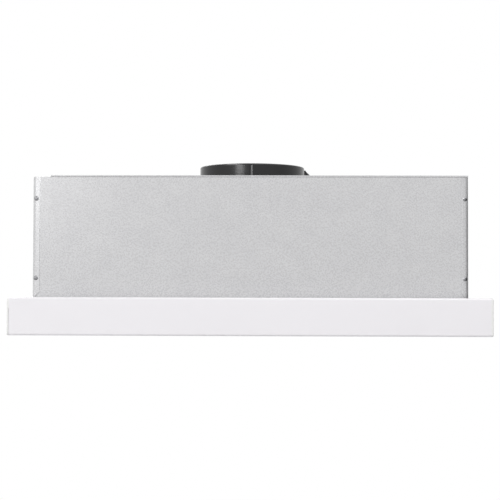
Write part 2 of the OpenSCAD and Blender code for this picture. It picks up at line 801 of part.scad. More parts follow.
module terminal_cover() {
  color("whitesmoke") difference() {
    box_block(1.5, z_ceiling - box_h - 1, z_ceiling - box_h + 6);
    box_block(0.2, z_ceiling - box_h, z_ceiling);
  }
}

module capacitor() {
  color("ivory") translate([capacitor_x, capacitor_y, z_ceiling]) {
    translate([0, 0, -capacitor_l - 3]) cylinder(h = capacitor_l, r = capacitor_r);
    translate([0, 0, -4]) cylinder(h = 4, r = capacitor_r + 3);
    for (x = [-5, 5]) translate([x - 0.4, -3, -capacitor_l - 9]) cube([0.8, 6, 7]);
  }
}

module cable_gland() {
  cone = gland_cap_r - 6.5;
  color("black") translate([gland_x, gland_y, z_top]) difference() {
    union() {
      rotate_extrude() polygon([
        [0, -11], [gland_thread_r, -11], [gland_thread_r, 0], [gland_cap_r - 2.5, 0], [gland_cap_r - 2.5, 9],
        [gland_cap_r - 0.8, 9], [gland_cap_r - 0.8, 17.5], [gland_cap_r, 18.5],
        [gland_cap_r - cone, 18.5 + cone], [gland_bore_r + 0.4, 19.7 + cone], [0, 19.7 + cone]
      ]);
      cylinder(h = 7, r = gland_cap_r, $fn = 6);
    }
    translate([0, 0, -20]) cylinder(h = 60, r = gland_bore_r);
  }
}

module gland_nut() {
  color("black") translate([gland_x, gland_y, z_ceiling - 1 - 6]) difference() {
    cylinder(h = 6, r = gland_thread_r + 4, $fn = 6);
    translate([0, 0, -1]) cylinder(h = 9, r = gland_thread_r + 0.05);
  }
}

// ---- Lamps ----

module lamp_cup(x) {
  color("silver") translate([x, strip_y, pan_lift]) difference() {
    union() {
      cylinder(h = cup_h, r1 = lens_r + 2, r2 = lens_r - 5);
      translate([0, 0, sheet]) cylinder(h = 1.2, r = lens_r + cup_margin);
    }
    translate([0, 0, -1]) cylinder(h = 2.8, r = lens_r + 0.3);
    translate([0, 0, 1.7]) cylinder(h = cup_h - 3, r1 = lens_r, r2 = lens_r - 7);
    translate([0, 0, 5]) cylinder(h = cup_h, r = 4);
  }
}

module lamp_lens(x) {
  color("white") translate([x, strip_y, pan_lift - 0.6]) intersection() {
    cylinder(h = 2.2, r = lens_r);
    translate([0, 0, 250 - 1.4]) sphere(250, $fn = 128);
  }
}

module lamp_bezel(x) {
  color("silver") translate([x, strip_y, 0]) rotate_extrude($fn = 96) polygon([
    [lens_r - 1.5, pan_lift - 1.6], [lens_r + 3, pan_lift - 1.6], [lens_r + 4.5, pan_lift - 0.3],
    [lens_r + 4.5, pan_lift], [lens_r + 0.4, pan_lift], [lens_r + 0.4, pan_lift - 0.7],
    [lens_r - 1.5, pan_lift - 0.7]
  ]);
}

module lamp_bulbs() {
  color("lightyellow") for (x = [-lamp_x, lamp_x]) translate([x, strip_y, pan_lift + 6]) {
    cylinder(h = 12, r = 3.8);
    sphere(3.8);
    for (s = [-2, 2]) translate([s, 0, 12 - eps]) cylinder(h = 4, r = 0.5, $fn = 24);
  }
}

// ---- Switches ----

// Room for a slider that travels from x, from height z0 up to z1
module slider_room(x, travel, half_w, half_d, z0, z1) {
  block([x - half_w, strip_y - half_d, z0], [x + travel + half_w, strip_y + half_d, z1]);
}

module switch_body() {
  z0 = pan_lift + sheet;
  color("dimgray") difference() {
    union() {
      translate([switch_x, strip_y, pan_lift + 9]) cube([plate_w - 12, plate_d - 10, 18], center = true);
      translate([switch_x, strip_y, z0 + 0.75]) cube([plate_w + 2, plate_d, 1.5], center = true);
    }
    slider_room(speed_x, speed_travel, 4, 5.5, pan_lift - 1, pan_lift + 12);
    slider_room(light_x, light_travel, 4, 5.5, pan_lift - 1, pan_lift + 12);
  }
}

module switch_plate() {
  color("white") difference() {
    translate([switch_x, strip_y, pan_lift - plate_t]) linear_extrude(plate_t) rounded(plate_w, plate_d, 4);
    slider_room(speed_x, speed_travel, stem_w / 2 + 0.8, slot_d / 2, 0, pan_lift + 1);
    slider_room(light_x, light_travel, stem_w / 2 + 0.8, slot_d / 2, 0, pan_lift + 1);
  }
}

// Knob with a ribbed grip, its stem and the shoe that slides in the switch body
module slider(x) {
  z_knob = pan_lift - plate_t - fine_gap;
  color("white") translate([x, strip_y, 0]) {
    difference() {
      translate([0, 0, z_knob - 1.5]) linear_extrude(1.5) rounded(knob_w, 12, 1.5);
      for (k = [-1 : 1]) translate([k * 3, 0, z_knob - 1.5]) rotate([90, 0, 0])
        cylinder(h = 14, r = 0.7, center = true, $fn = 24);
    }
    translate([-stem_w / 2, -slot_d / 2 + 0.5, z_knob - eps]) cube([stem_w, slot_d - 1, 5]);
    translate([-3.5, -4.5, pan_lift + 0.6]) cube([7, 9, 5]);
  }
}

// ---- Slides and visor ----

// The right slide's members; the left ones are mirror images
module rail_fixed() {
  color("silver") difference() {
    along_y(rail_y0, rail_end + 2) translate([0, z_rail]) strip([
      [x_in - rail_reach, -(rail_h - rail_t) / 2], [x_in - rail_t / 2, -(rail_h - rail_t) / 2],
      [x_in - rail_t / 2, (rail_h - rail_t) / 2], [x_in - rail_reach, (rail_h - rail_t) / 2]
    ], rail_t);
    for (y = rivet_y) translate([x_side, y, z_rail]) rotate([0, 90, 0]) drill();
  }
}

// Rivets that hold the fixed rails on the side panels
module rail_rivets() {
  color("silver") both_sides() for (y = rivet_y) translate([x_side, y, z_rail]) rotate([0, 90, 0]) {
    translate([0, 0, -sheet - rail_t - 0.4]) cylinder(h = sheet + rail_t + 0.8, r = screw_r, $fn = 24);
    cylinder(h = 0.8, r1 = 3.2, r2 = 2.2);
    translate([0, 0, -sheet - rail_t - 0.8]) cylinder(h = 0.8, r1 = 2, r2 = 3);
  }
}

module ball_cage() {
  color("goldenrod") {
    translate([cage_x + cage_t / 2, cage_y, z_rail])
      cube([cage_t, cage_l, 2 * ball_z + cage_t], center = true);
    for (z = [z_rail - ball_z, z_rail + ball_z]) {
      translate([ball_x - 2.4, cage_y - cage_l / 2, z - cage_t / 2])
        cube([cage_x - ball_x + 2.4 + eps, cage_l, cage_t]);
      for (k = [0 : ball_count - 1])
        translate([ball_x, cage_y + (k - (ball_count - 1) / 2) * ball_pitch, z]) sphere(ball_r);
    }
  }
}

module rail_moving() {
  half = moving_half - rail_t / 2;
  color("silver") along_y(visor_y0 + 2, rail_end) translate([0, z_rail]) strip([
    [visor_x + moving_reach, -half], [visor_x + rail_t / 2, -half],
    [visor_x + rail_t / 2, half], [visor_x + moving_reach, half]
  ], rail_t);
}

module visor_pan() {
  half = visor_filter_w / 2 + filter_gap;
  window = [-half, half, visor_bay_y0, visor_bay_y0 + visor_filter_d + 2 * filter_gap];
  color("gainsboro") difference() {
    window_pan([-visor_x, visor_y0, visor_z], [visor_x, visor_y1, 0], visor_h, [window], 9);
    bar_screw_places() drill();
  }
}

// ---- Grease filters ----

// Folded aluminium frame round a mesh pad; its lower front edge is at y0
module filter_frame_shape(w, d, bars) {
  difference() {
    translate([0, d / 2, 0]) linear_extrude(filter_t) rounded(w, d, 3);
    translate([0, d / 2, -1]) linear_extrude(filter_t + 2)
      rounded(w - 2 * filter_lip, d - 2 * filter_lip, 3);
    translate([-w / 2 + filter_sheet, filter_sheet, filter_sheet])
      cube([w - 2 * filter_sheet, d - 2 * filter_sheet, filter_t - 2 * filter_sheet]);
  }
  for (x = bars, z = [0, filter_t - filter_sheet]) translate([x - 6, 2, z]) cube([12, d - 4, filter_sheet]);
}

// Mesh pad: two sheets with staggered diamond openings and a folded sheet between them
module mesh_shape(w, d) {
  pitch_x = 27;
  pitch_y = 14.5;
  skin = 0.8;
  fold = 13.5;
  half_fold_t = 0.45;
  inset = filter_sheet + 0.2;
  depth = filter_t - 2 * inset;
  cols = floor((w - 2 * filter_lip) / pitch_x);
  rows = floor((d - 2 * filter_lip) / pitch_y);
  folds = floor((w - 2 * inset - 2) / fold);
  crest = [for (k = [0 : folds]) [(k - folds / 2) * fold, (k % 2 == 0 ? skin : depth - skin)]];
  translate([0, d / 2, inset]) {
    along_y(-d / 2 + inset, d / 2 - inset)
      polygon(concat([for (p = crest) p + [0, half_fold_t]], [for (p = flipped(crest)) p - [0, half_fold_t]]));
    for (z = [0, depth - skin]) translate([0, 0, z]) linear_extrude(skin) difference() {
      square([w - 2 * inset, d - 2 * inset], center = true);
      for (i = [0 : cols - 1], j = [0 : rows - 1])
        translate([(i - (cols - 1) / 2 + (j % 2 - 0.5) / 2) * pitch_x, (j - (rows - 1) / 2) * pitch_y])
          polygon([[-10, 0], [0, -5], [10, 0], [0, 5]]);
    }
  }
}

module filter_place(x) {
  translate([x, bay_y0 + filter_gap, filter_lift]) children();
}

module filter_frame(x) {
  color("silver") filter_place(x) {
    filter_frame_shape(filter_w, filter_d, []);
    // Tongues on the back edge, with the rolled bead that the filter turns on
    for (t = [-tongue_x, tongue_x]) translate([t - tab_w / 2, filter_d, hinge_bead_r]) {
      translate([0, -eps, -0.5]) cube([tab_w, tab_l, 1]);
      rotate([0, 90, 0]) cylinder(h = tab_w, r = hinge_bead_r);
    }
    // Finger pull on the front edge
    along_x(-22, 22) strip([[1, 0.4], [8, 0.4], [11, -2.6], [16, -2.6]], filter_sheet, 1.5);
  }
}

module filter_mesh(x) {
  color("gainsboro") filter_place(x) mesh_shape(filter_w, filter_d);
}

module visor_filter_place() {
  translate([0, visor_bay_y0 + filter_gap, visor_z + 1.3]) children();
}

module visor_filter_frame() {
  color("silver") visor_filter_place() filter_frame_shape(visor_filter_w, visor_filter_d, [0]);
}

module visor_filter_mesh() {
  color("gainsboro") visor_filter_place() mesh_shape(visor_filter_w, visor_filter_d);
}

// ---- Front bar ----

bar_screw_x = [-270, -90, 90, 270];
z_bar_screw = visor_z + visor_h - 9;

// Places of the bar's screws: the origin is inside the visor pan's front wall and +Z points backwards
module bar_screw_places() {
  for (x = bar_screw_x) translate([x, visor_y0 + sheet, z_bar_screw]) rotate([-90, 0, 0]) children();
}

module front_bar() {
  front = y_bar + bar_sheet / 2;
  back = y_bar + bar_depth - bar_sheet / 2;
  low = bar_sheet / 2;
  high = bar_h - bar_sheet / 2;
  color("white") difference() {
    along_x(-bar_w / 2 + cap_t, bar_w / 2 - cap_t) strip([
      [back, visor_z + 3], [back, high], [front, high], [front, low], [back, low], [back, 12]
    ], bar_sheet, bar_bend);
    bar_screw_places() drill();
  }
}

// End cap: a plate with the bar's own rounded section, and a plug that fits inside the bar
function bar_section(inset) =
  let (r = bar_bend + bar_sheet / 2 - inset, n = bend_steps,
       y0 = y_bar + inset, y1 = y_bar + bar_depth - inset, z0 = inset, z1 = bar_h - inset)
  [
    for (c = [[y1 - r, z1 - r, 0], [y0 + r, z1 - r, 90], [y0 + r, z0 + r, 180], [y1 - r, z0 + r, 270]])
      for (k = [0 : n])
        let (a = c[2] + 90 * k / n) [c[0] + r * cos(a), c[1] + r * sin(a)]
  ];

module bar_cap() {
  x0 = bar_w / 2 - cap_t;
  color("white") {
    along_x(x0, bar_w / 2 - 1) polygon(bar_section(0));
    along_x(bar_w / 2 - 1 - eps, bar_w / 2) polygon(bar_section(0.8));
    difference() {
      along_x(x0 - 8, x0 + eps) polygon(bar_section(bar_sheet + 0.2));
      along_x(x0 - 9, x0 + 1) polygon(bar_section(bar_sheet + 1.6));
    }
  }
}

// The left cap has a slot down its front edge, to pry it off by
module bar_cap_left() {
  color("white") difference() {
    bar_cap();
    block([bar_w / 2 - cap_t - eps, y_bar - 1, -1], [bar_w / 2 - cap_t + pry_w, y_bar + bar_sheet, bar_h * 0.7]);
  }
}

module bar_screws() {
  color("silver") bar_screw_places() screw(bar_screw_l);
}

// ---- Visor switch ----

lever_x = -180;
lever_y = visor_y1 + 9;
lever_z = visor_z + 16;
lever_l = 24;
case_w = 28;
case_d = 10;
case_h = 16;
foot_w = 20;
foot_d = 18;
pivot_x = lever_x - foot_w / 2;
roller_r = 3;
roller_y = visor_y1 + fine_gap + roller_r;

module visor_switch() {
  case_z = lever_z - case_h / 2;
  foot_x = lever_x - foot_w / 2;
  color("black") difference() {
    union() {
      block([lever_x - case_w / 2, lever_y, case_z], [lever_x + case_w / 2, lever_y + case_d, case_z + case_h]);
      translate([foot_x, lever_y + case_d - eps, z_ledge]) cube([foot_w, 1.5 + eps, case_z + case_h - z_ledge]);
      translate([foot_x, lever_y + case_d, z_ledge]) cube([foot_w, foot_d - case_d, 1.5]);
    }
    block([pivot_x - 3, lever_y - 1, lever_z - 1], [pivot_x + 3, lever_y + 4, lever_z + 7]);
  }
  // Pivot pin of the lever
  color("silver") translate([pivot_x, lever_y + 1, lever_z - 1.5]) cylinder(h = 9, r = 0.7, $fn = 24);
}

module visor_switch_lever() {
  color("silver") difference() {
    union() {
      translate([pivot_x, lever_y + 1, lever_z + 1]) cylinder(h = 4, r = 1.6);
      block([pivot_x - 1.2, roller_y + 0.5, lever_z + 2], [pivot_x - 0.2, lever_y + 1, lever_z + 4]);
      translate([pivot_x - 1.2, roller_y - 0.5, lever_z + 2]) cube([lever_l + 1.2, 1, 2]);
      translate([pivot_x + lever_l, roller_y, lever_z + 1]) cylinder(h = 4, r = roller_r);
    }
    translate([pivot_x, lever_y + 1, lever_z - 5]) cylinder(h = 14, r = 0.7 + shaft_gap, $fn = 24);
  }
}

front_panel();
mirror([1, 0, 0]) side_panel();  // side_panel_left
side_panel();  // side_panel_right
top_panel();
back_panel();
bottom_pan();
body_screws();
duct_collar();
collar_screws();
damper_axle();
damper_flap(-1);  // damper_flap_left
damper_flap(1);  // damper_flap_right
color("lightgray") mirror([1, 0, 0]) scroll_half_shell();  // scroll_left
color("lightgray") scroll_half_shell();  // scroll_right
scroll_screws();
blower_wheel();
wheel_hub();
motor_shaft();
motor_rotor();
motor_stator();
motor_can();
motor_end_cap();
motor_bushes();
motor_bracket();
terminal_box();
terminal_cover();
capacitor();
cable_gland();
gland_nut();
lamp_cup(-lamp_x);  // lamp_cup_left
lamp_cup(lamp_x);  // lamp_cup_right
lamp_lens(-lamp_x);  // lamp_lens_left
lamp_lens(lamp_x);  // lamp_lens_right
lamp_bezel(-lamp_x);  // lamp_bezel_left
lamp_bezel(lamp_x);  // lamp_bezel_right
lamp_bulbs();
switch_body();
switch_plate();
slider(speed_x);  // speed_slider
slider(light_x);  // light_slider
mirror([1, 0, 0]) rail_fixed();  // rail_fixed_left
rail_fixed();  // rail_fixed_right
rail_rivets();
mirror([1, 0, 0]) ball_cage();  // ball_cage_left
ball_cage();  // ball_cage_right
mirror([1, 0, 0]) rail_moving();  // rail_moving_left
rail_moving();  // rail_moving_right
visor_pan();
visor_filter_frame();
visor_filter_mesh();
front_bar();
mirror([1, 0, 0]) bar_cap_left();
bar_cap();  // bar_cap_right
bar_screws();
filter_frame(-bay_x);  // filter_frame_left
filter_mesh(-bay_x);  // filter_mesh_left
filter_frame(bay_x);  // filter_frame_right
filter_mesh(bay_x);  // filter_mesh_right
visor_switch();
visor_switch_lever();
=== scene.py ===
import json
import math
import bmesh
import bpy
import numpy as np
from mathutils import Matrix, Vector


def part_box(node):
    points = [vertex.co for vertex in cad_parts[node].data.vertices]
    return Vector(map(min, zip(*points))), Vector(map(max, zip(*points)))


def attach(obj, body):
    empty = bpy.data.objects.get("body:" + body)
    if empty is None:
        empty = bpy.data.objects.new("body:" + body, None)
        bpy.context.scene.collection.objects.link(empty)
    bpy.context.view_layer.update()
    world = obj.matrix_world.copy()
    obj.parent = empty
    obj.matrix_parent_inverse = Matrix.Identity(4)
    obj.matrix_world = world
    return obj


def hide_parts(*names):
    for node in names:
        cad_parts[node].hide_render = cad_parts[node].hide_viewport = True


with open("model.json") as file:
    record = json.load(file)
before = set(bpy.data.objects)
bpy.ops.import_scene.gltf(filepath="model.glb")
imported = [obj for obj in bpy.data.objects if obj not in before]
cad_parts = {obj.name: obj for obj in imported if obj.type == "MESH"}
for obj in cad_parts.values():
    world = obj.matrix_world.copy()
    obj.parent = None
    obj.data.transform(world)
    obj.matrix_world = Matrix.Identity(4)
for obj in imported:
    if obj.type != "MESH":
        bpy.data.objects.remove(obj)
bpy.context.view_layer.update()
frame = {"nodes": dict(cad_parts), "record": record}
print("frame loaded:", len(frame["nodes"]), "nodes")


# ---- small helpers for node trees ----

def feed(tree, node, inputs):
    # an input takes either a plain value or another node's output
    for name, value in inputs.items():
        if isinstance(value, bpy.types.NodeSocket):
            tree.links.new(value, node.inputs[name])
        else:
            node.inputs[name].default_value = value
    return node


def add(tree, kind, inputs=None, **settings):
    node = tree.nodes.new("ShaderNode" + kind)
    for name, value in settings.items():
        setattr(node, name, value)
    return feed(tree, node, inputs or {})


def place(tree, stretch=(1, 1, 1)):
    # object coordinates in metres, stretched for the grain of a finish
    coords = add(tree, "TexCoord").outputs["Object"]
    return add(tree, "Mapping", {"Vector": coords, "Scale": stretch}).outputs["Vector"]


def noise(tree, size, detail=2.0, rough=0.5, where=None):
    # cloudy noise whose blotches are about size metres wide
    inputs = {"Vector": where or place(tree), "Scale": 1 / size, "Detail": detail, "Roughness": rough}
    return add(tree, "TexNoise", inputs).outputs["Fac"]


def cells(tree, size):
    # every cell, about size metres wide, has a distance from its middle and a chance tone of its own
    found = add(tree, "TexVoronoi", {"Vector": place(tree), "Scale": 1 / size}).outputs
    return found["Distance"], add(tree, "SeparateColor", {"Color": found["Color"]}).outputs["Red"]


def waves(tree, scale, wobble, way):
    inputs = {"Vector": place(tree), "Scale": scale, "Distortion": wobble}
    return add(tree, "TexWave", inputs, bands_direction=way).outputs["Fac"]


def span(tree, fac, low, high, start=0.0, end=1.0):
    # carries the range start..end of a value over to low..high
    inputs = {"Value": fac, "From Min": start, "From Max": end, "To Min": low, "To Max": high}
    return add(tree, "MapRange", inputs).outputs["Result"]


def shade(tree, fac, dark, light):
    # sockets 6, 7 and 2 are the colour ones of a Mix node
    mix = add(tree, "Mix", {"Factor": fac}, data_type="RGBA")
    mix.inputs[6].default_value = (*dark, 1)
    mix.inputs[7].default_value = (*light, 1)
    return mix.outputs[2]


def combine(tree, a, b, how="ADD"):
    return add(tree, "Math", {0: a, 1: b}, operation=how).outputs[0]


def bump(tree, height, depth, strength):
    inputs = {"Height": height, "Distance": depth, "Strength": strength}
    return add(tree, "Bump", inputs).outputs["Normal"]


def finish(name, build):
    material = bpy.data.materials.new(name)
    material.use_nodes = True
    tree = material.node_tree
    feed(tree, tree.nodes["Principled BSDF"], build(tree))
    return material


# ---- finishes ----

silver = {
    "dome": 0.0016,  # width of the small domes of the embossed sheet
    "cloud": 0.03,
    "parts": (-0.6, 2.0),  # what the domes' edges and the clouds add to the tone
    "tones": (0.2, 2.0),  # tones that come out darkest and lightest
    "dark": (0.515, 0.515, 0.526),
    "light": (0.565, 0.565, 0.572),
    "rough": (0.25, 0.31),
    "relief": (-0.00003, 0.44),  # height and strength
}


def silverCoat(tree):
    # silver coat on embossed sheet: small domes that differ a little in tone, and broad soft clouds
    s = silver
    distance, own = cells(tree, s["dome"])
    edges, clouds = s["parts"]
    tone = combine(tree, own, combine(tree, distance, edges, "MULTIPLY"))
    tone = combine(tree, tone, combine(tree, noise(tree, s["cloud"]), clouds, "MULTIPLY"))
    return {
        "Base Color": shade(tree, span(tree, tone, 0, 1, *s["tones"]), s["dark"], s["light"]),
        "Metallic": 0.2,
        "Roughness": span(tree, own, *s["rough"]),
        "Specular IOR Level": 0.3,
        "Normal": bump(tree, distance, *s["relief"]),
    }


def galvanised(tree):
    # zinc spangle: angular crystals that differ in tone and in gloss
    tone = cells(tree, 0.009)[1]
    fine = noise(tree, 0.0012)
    return {
        "Base Color": shade(tree, tone, (0.56, 0.57, 0.58), (0.68, 0.685, 0.69)),
        "Metallic": 0.7,
        "Roughness": span(tree, tone, 0.32, 0.5),
        "Normal": bump(tree, fine, 0.00002, 0.5),
    }


def whiteEnamel(tree):
    # stoved enamel with a faint orange peel
    peel = noise(tree, 0.0035, 1.0, 0.3)
    haze = noise(tree, 0.06)
    return {
        "Base Color": shade(tree, haze, (0.79, 0.775, 0.8), (0.805, 0.79, 0.815)),
        "Roughness": span(tree, haze, 0.3, 0.4),
        "Coat Weight": 0.25,
        "Coat Roughness": 0.12,
        "Normal": bump(tree, peel, 0.00001, 0.35),
    }


def mouldedPlastic(dark, light, rough, gloss=0.5):
    def build(tree):
        # spark-eroded texture with a soft drift in gloss
        texture = noise(tree, 0.0006, 2.0, 0.55)
        drift = noise(tree, 0.03)
        return {
            "Base Color": shade(tree, drift, dark, light),
            "Roughness": span(tree, drift, rough - 0.05, rough + 0.07),
            "Specular IOR Level": gloss,
            "Normal": bump(tree, texture, 0.00002, 0.4),
        }
    return build


def plainMetal(dark, light, rough, grain=(1, 1, 1)):
    def build(tree):
        # metal with a grain: scratches run along the axis whose stretch is small
        lines = noise(tree, 0.0015, 3.0, 0.6, place(tree, grain))
        stain = noise(tree, 0.02, 3.0)
        return {
            "Base Color": shade(tree, combine(tree, lines, stain, "MULTIPLY"), dark, light),
            "Metallic": 1.0,
            "Roughness": span(tree, lines, rough - 0.07, rough + 0.1, 0.3, 0.7),
            "Normal": bump(tree, lines, 0.00001, 0.4),
        }
    return build


def castIron(tree):
    # stacked laminations across X
    bands = waves(tree, 320.0, 0.3, "X")
    return {
        "Base Color": shade(tree, bands, (0.2, 0.2, 0.21), (0.36, 0.36, 0.37)),
        "Metallic": 0.8,
        "Roughness": 0.45,
        "Normal": bump(tree, bands, 0.0001, 0.6),
    }


def copperWinding(tree):
    # enamelled wire wound tight
    turns = waves(tree, 260.0, 1.2, "DIAGONAL")
    return {
        "Base Color": shade(tree, turns, (0.33, 0.13, 0.06), (0.68, 0.33, 0.16)),
        "Metallic": 0.75,
        "Roughness": 0.32,
        "Normal": bump(tree, turns, 0.00025, 0.8),
    }


def frostedGlass(tree):
    # frosted lens with a fine grain
    grain = noise(tree, 0.0005)
    return {
        "Base Color": shade(tree, grain, (0.9, 0.9, 0.88), (0.97, 0.97, 0.95)),
        "Roughness": span(tree, grain, 0.3, 0.5),
        "Transmission Weight": 0.75,
        "IOR": 1.5,
        "Normal": bump(tree, grain, 0.00004, 0.6),
    }


def bulbGlass(tree):
    haze = noise(tree, 0.004)
    return {
        "Base Color": shade(tree, haze, (0.96, 0.94, 0.88), (1.0, 0.98, 0.93)),
        "Roughness": span(tree, haze, 0.03, 0.12),
        "Transmission Weight": 0.9,
        "IOR": 1.48,
    }


finishes = {
    "silver_coat": silverCoat,
    "galvanised": galvanised,
    "white_enamel": whiteEnamel,
    "black_plastic": mouldedPlastic((0.003, 0.003, 0.0035), (0.006, 0.006, 0.0065), 0.22, gloss=0.42),
    "matte_nylon": mouldedPlastic((0.004, 0.004, 0.004), (0.007, 0.007, 0.0075), 0.5, gloss=0.12),
    "grey_plastic": mouldedPlastic((0.2, 0.2, 0.21), (0.24, 0.24, 0.25), 0.45),
    "white_plastic": mouldedPlastic((0.76, 0.76, 0.75), (0.82, 0.82, 0.81), 0.38),
    "ivory_plastic": mouldedPlastic((0.72, 0.69, 0.58), (0.8, 0.77, 0.67), 0.4),
    "screw_steel": plainMetal((0.5, 0.5, 0.5), (0.72, 0.72, 0.71), 0.28),
    "dark_screw": plainMetal((0.2, 0.2, 0.21), (0.42, 0.42, 0.43), 0.3),
    "bright_steel": plainMetal((0.55, 0.55, 0.56), (0.76, 0.76, 0.77), 0.24),
    "rail_steel": plainMetal((0.52, 0.53, 0.55), (0.7, 0.71, 0.73), 0.32, (1, 0.03, 1)),
    "aluminium": plainMetal((0.66, 0.67, 0.69), (0.82, 0.83, 0.84), 0.3, (0.05, 1, 1)),
    "mesh_aluminium": plainMetal((0.58, 0.59, 0.6), (0.8, 0.81, 0.82), 0.34),
    "brass": plainMetal((0.5, 0.36, 0.13), (0.75, 0.58, 0.27), 0.3),
    "copper": copperWinding,
    "rotor_iron": castIron,
    "lamp_glass": frostedGlass,
    "bulb_glass": bulbGlass,
}
made = {name: finish(name, build) for name, build in finishes.items()}
for row in frame["record"]["subparts"]:
    mesh = frame["nodes"][row["node"]].data
    mesh.materials.clear()
    mesh.materials.append(made[row["material_slot"]])
for name in ("cable_gland", "gland_nut"):
    frame["nodes"][name].data.materials[0] = made["matte_nylon"]
print("finishes:", len(made))


# ---- camera ----

lookOut = {
    "place": (0.0691, -2.8008, 0.0182),
    "yaw": -1.476,  # degrees to the right of +Y
    "pitch": 2.508,  # degrees up
    "roll": 0.203,
    "lens": 122.4,  # mm on a 36 mm sensor
}


def makeCamera(s):
    yaw, pitch, roll = (math.radians(s[k]) for k in ("yaw", "pitch", "roll"))
    ahead = np.array([math.sin(yaw) * math.cos(pitch), math.cos(yaw) * math.cos(pitch), math.sin(pitch)])
    side = np.array([math.cos(yaw), -math.sin(yaw), 0])
    up = np.cross(side, ahead)
    right = side * math.cos(roll) + up * math.sin(roll)
    top = up * math.cos(roll) - side * math.sin(roll)
    data = bpy.data.cameras.new("camera")
    data.lens, data.sensor_width = s["lens"], 36
    data.clip_start, data.clip_end = 0.05, 60
    camera = bpy.data.objects.new("camera", data)
    bpy.context.scene.collection.objects.link(camera)
    turn = Matrix(np.column_stack([right, top, -ahead]).tolist()).to_4x4()
    camera.matrix_world = Matrix.Translation(s["place"]) @ turn
    bpy.context.scene.camera = camera


makeCamera(lookOut)
print("camera set")


# ---- shapes worked out on grids ----

def surface(name, points, smooth=False):
    # points: strips x along x across x 3; every strip is a closed skin of its own, whose rows turn
    # right-handed about the way along it, so that its faces point outwards, with a cap at each end
    strips, along, across = points.shape[:3]
    ids = np.arange(strips * along * across, dtype=np.int32).reshape(strips, along, across)
    ring = np.concatenate([ids, ids[:, :, :1]], axis=2)
    near, far = ring[:, :-1], ring[:, 1:]
    quads = np.stack([near[..., :-1], near[..., 1:], far[..., 1:], far[..., :-1]], axis=-1)
    corners = np.concatenate([quads.ravel(), ids[:, 0, ::-1].ravel(), ids[:, -1].ravel()])
    counts = np.repeat([4, across], [quads.size // 4, 2 * strips])
    mesh = bpy.data.meshes.new(name)
    mesh.vertices.add(points.size // 3)
    mesh.vertices.foreach_set("co", points.astype(np.float32).ravel())
    mesh.loops.add(len(corners))
    mesh.loops.foreach_set("vertex_index", corners)
    mesh.polygons.add(len(counts))
    mesh.polygons.foreach_set("loop_start", (np.cumsum(counts) - counts).astype(np.int32))
    mesh.polygons.foreach_set("use_smooth", np.full(len(counts), smooth))
    mesh.update(calc_edges=True)
    piece = bpy.data.objects.new(name, mesh)
    bpy.context.scene.collection.objects.link(piece)
    return piece


def dress(piece, slot, body, *stoodFor):
    piece.data.materials.append(made[slot])
    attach(piece, body)
    if stoodFor:
        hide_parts(*stoodFor)
    return piece


def tube(path, thick, sides=10):
    # a circle of radius thick carried along each path (strips x along x 3), square to its direction
    ahead = np.gradient(path, axis=1)
    ahead /= np.linalg.norm(ahead, axis=-1, keepdims=True)
    helper = np.where(np.abs(ahead[..., 2:]) < 0.8, [0.0, 0.0, 1.0], [1.0, 0.0, 0.0])
    side = np.cross(helper, ahead)
    side /= np.linalg.norm(side, axis=-1, keepdims=True)
    up = np.cross(ahead, side)
    turn = np.linspace(0, 2 * np.pi, sides, endpoint=False)[:, None]
    spokes = side[:, :, None] * np.cos(turn) + up[:, :, None] * np.sin(turn)
    return path[:, :, None] + spokes * thick


# ---- grease filters: layers of expanded aluminium ----

strands = {
    "cell": (0.0115, 0.0066),  # long and short way of a diamond
    "bond": 0.0007,  # half length of the place where two strands are joined
    "ribbon": (0.0011, 0.0004),
    "tilt": 24,  # degrees that a ribbon leans out of the sheet
    "crimp": (0.0005, 0.026),  # height and length of the sheet's waves
    "edge": 0.0006,  # clearance from the frame
}


def expandedSheet(low, high, z, s, turned=False):
    # strand j follows y = (j + 1/2) h/2 + h/4 tri(2 x/l + j), where tri swings between -1 and 1 and
    # rests for a bond's length at each turn, so that it touches its neighbours there;
    # z waves gently along x, and a flat rectangle is carried along it, leaning by the tilt
    if turned:
        low, high = low[::-1], high[::-1]
    (l, h), (x0, y0), (x1, y1) = s["cell"], low, high
    halves = int((x1 - x0) / (l / 2))
    rows = int((y1 - y0) / (h / 2)) - 1
    middle = (x0 + x1) / 2 + (np.arange(halves) - (halves - 1) / 2) * l / 2
    x = (middle[:, None] + np.array([-s["bond"], s["bond"]])).ravel()
    swing = np.repeat(np.where(np.arange(halves) % 2, 1.0, -1.0), 2)
    j = np.arange(rows)[:, None]
    y = (y0 + y1) / 2 + (j - (rows - 1) / 2) * h / 2 + np.where(j % 2, 1, -1) * swing * h / 4
    lift, length = s["crimp"]
    wave = z + lift * np.sin(2 * np.pi * x / length)
    wide, thin = s["ribbon"]
    lean = math.radians(s["tilt"])
    turn = np.array([[math.cos(lean), math.sin(lean)], [-math.sin(lean), math.cos(lean)]])
    section = np.array([[-wide, -thin], [wide, -thin], [wide, thin], [-wide, thin]]) / 2 @ turn
    points = np.empty((rows, len(x), 4, 3))
    points[..., 0] = x[None, :, None]
    points[..., 1] = y[:, :, None] + section[:, 0]
    points[..., 2] = wave[None, :, None] + section[:, 1]
    return points[:, :, ::-1, [1, 0, 2]] if turned else points


def filterPad(name, node, body, s):
    low, high = (np.array(corner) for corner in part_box(node))
    a, b = low[:2] + s["edge"], high[:2] - s["edge"]
    rise = s["crimp"][0] + s["ribbon"][0] / 2
    levels = np.linspace(low[2] + rise, high[2] - rise, 3)
    for k, z in enumerate(levels):
        sheet = surface(f"{name}_{k}", expandedSheet(a, b, z, s, turned=k == 1))
        dress(sheet, "mesh_aluminium", body, *([node] if k == 0 else []))


filterPad("grease_sheet_left", "filter_mesh_left", "filter_left", strands)
filterPad("grease_sheet_right", "filter_mesh_right", "filter_right", strands)
filterPad("grease_sheet_visor", "visor_filter_mesh", "visor", strands)
print("filter sheets woven")


# ---- damper spring ----

